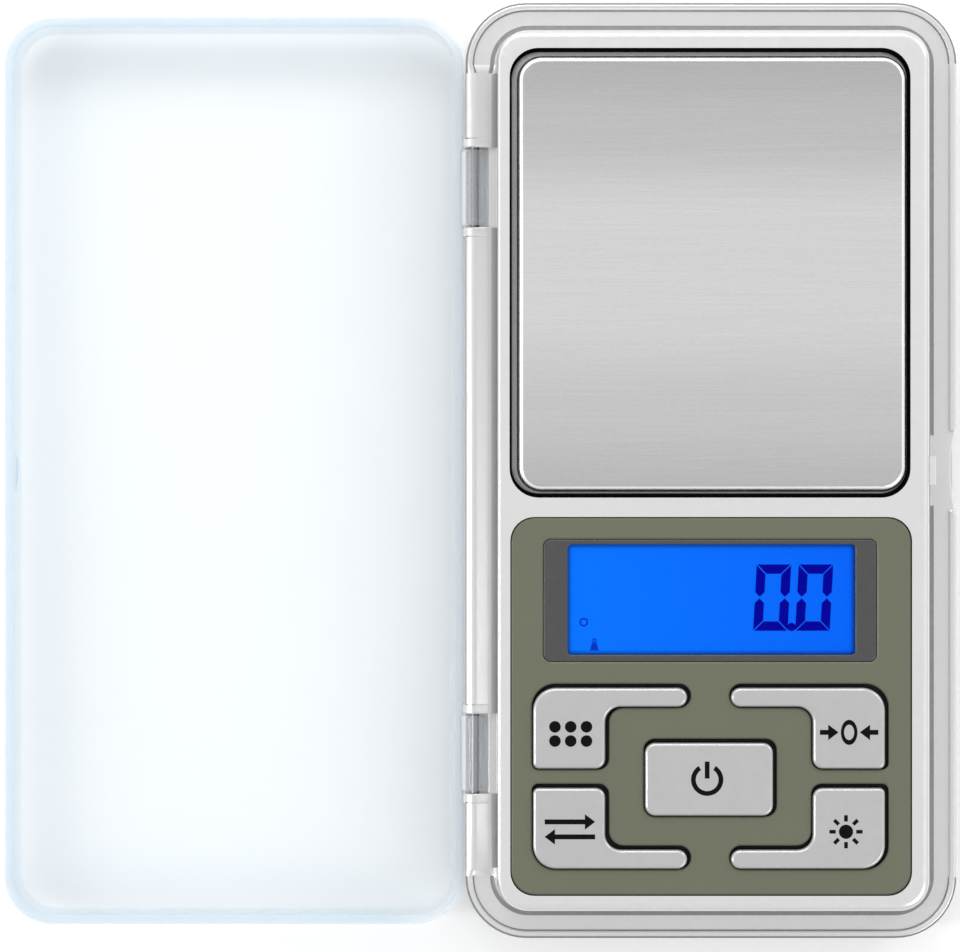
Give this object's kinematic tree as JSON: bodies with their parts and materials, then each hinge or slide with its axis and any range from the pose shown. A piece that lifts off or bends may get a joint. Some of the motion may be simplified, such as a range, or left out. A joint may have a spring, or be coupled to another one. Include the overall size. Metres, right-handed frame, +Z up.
{
  "type": "digital gram scale",
  "caption": "Pocket gram scale with a clear flip lid, steel weighing pan, blue backlit display and raised keys.",
  "frame": {"origin": "centre of the outline with the lid swung fully open, on the surface the scale stands on", "axes": "+X from the open lid towards the body, +Y from the keys towards the weighing pan, +Z up"},
  "size_m": [0.1226, 0.12, 0.017],
  "materials": {
    "case_silver": "satin silver paint over moulded plastic",
    "panel_olive": "printed satin film",
    "lens_smoke": "clear window with a dark printed border",
    "lcd_blue": "blue backlit liquid crystal",
    "light_blue": "light guide",
    "rubber_grey": "matt",
    "rubber_pink": "silicone",
    "board_green": "solder mask",
    "component_black": "moulded",
    "steel": "plated",
    "pan_steel": "brushed along its length",
    "beam_aluminium": "machined",
    "gauge_foil": "polyimide film",
    "wire_red": "sheath",
    "wire_black": "sheath",
    "wire_green": "sheath",
    "wire_white": "sheath",
    "cell_jacket": "plain sleeve",
    "contact_nickel": "nickel plated spring steel",
    "lid_clear": "clear moulded plastic",
    "carrier_white": "moulded",
    "pad_ivory": "adhesive foam",
    "key_silver": "satin silver paint over moulded plastic"
  },
  "bodies": {
    "case": {"bottom_case": "case_silver", "top_case": "case_silver", "faceplate": "panel_olive", "display_lens": "lens_smoke", "lcd_glass": "lcd_blue", "lcd_backlight": "light_blue", "zebra_connector": "rubber_pink", "main_pcb": "board_green", "pcb_components": "component_black", "pcb_screws": "steel", "tact_switches": "component_black", "load_cell": "beam_aluminium", "strain_gauges": "gauge_foil", "load_cell_screws": "steel", "overload_stop_screw": "steel", "gauge_wire_red": "wire_red", "gauge_wire_black": "wire_black", "gauge_wire_green": "wire_green", "gauge_wire_white": "wire_white", "battery_lead_red": "wire_red", "battery_lead_black": "wire_black", "battery_cell_1": "cell_jacket", "battery_cell_2": "cell_jacket", "battery_spring_contact": "contact_nickel", "battery_plate_contact": "contact_nickel", "battery_bridge_contact": "contact_nickel", "case_screws": "steel", "foot_1": "rubber_grey", "foot_2": "rubber_grey", "foot_3": "rubber_grey", "foot_4": "rubber_grey", "hinge_pin_upper": "steel", "hinge_pin_lower": "steel"},
    "lid": {"lid": "lid_clear"},
    "pan": {"weighing_pan": "pan_steel", "pan_carrier": "carrier_white", "pan_carrier_screws": "steel", "pan_adhesive_pads": "pad_ivory"},
    "count_button": {"key_count": "key_silver", "plunger_count": "component_black"},
    "units_button": {"key_units": "key_silver", "plunger_units": "component_black"},
    "tare_button": {"key_tare": "key_silver", "plunger_tare": "component_black"},
    "light_button": {"key_light": "key_silver", "plunger_light": "component_black"},
    "power_button": {"key_power": "key_silver", "plunger_power": "component_black"},
    "door": {"battery_door": "case_silver"}
  },
  "joints": [
    {"name": "lid_hinge", "type": "hinge", "parent": "case", "child": "lid", "pos_m": [-0.0006, 0, 0.01], "axis": [0, 1, 0], "range_deg": [0, 180]},
    {"name": "pan_travel", "type": "slide", "parent": "case", "child": "pan", "axis": [0, 0, -1], "range_m": [0, 0.0005], "stiffness_N_per_m": 10000, "springref_m": -0.00005, "deforming": ["load_cell"]},
    {"name": "count_press", "type": "slide", "parent": "case", "child": "count_button", "axis": [0, 0, -1], "range_m": [0, 0.00035], "stiffness_N_per_m": 4000, "springref_m": -0.0001},
    {"name": "units_press", "type": "slide", "parent": "case", "child": "units_button", "axis": [0, 0, -1], "range_m": [0, 0.00035], "stiffness_N_per_m": 4000, "springref_m": -0.0001},
    {"name": "tare_press", "type": "slide", "parent": "case", "child": "tare_button", "axis": [0, 0, -1], "range_m": [0, 0.00035], "stiffness_N_per_m": 4000, "springref_m": -0.0001},
    {"name": "light_press", "type": "slide", "parent": "case", "child": "light_button", "axis": [0, 0, -1], "range_m": [0, 0.00035], "stiffness_N_per_m": 4000, "springref_m": -0.0001},
    {"name": "power_press", "type": "slide", "parent": "case", "child": "power_button", "axis": [0, 0, -1], "range_m": [0, 0.00035], "stiffness_N_per_m": 4000, "springref_m": -0.0001},
    {"name": "door_slide", "type": "slide", "parent": "case", "child": "door", "axis": [0, -1, 0], "range_m": [0, 0.026]}
  ]
}
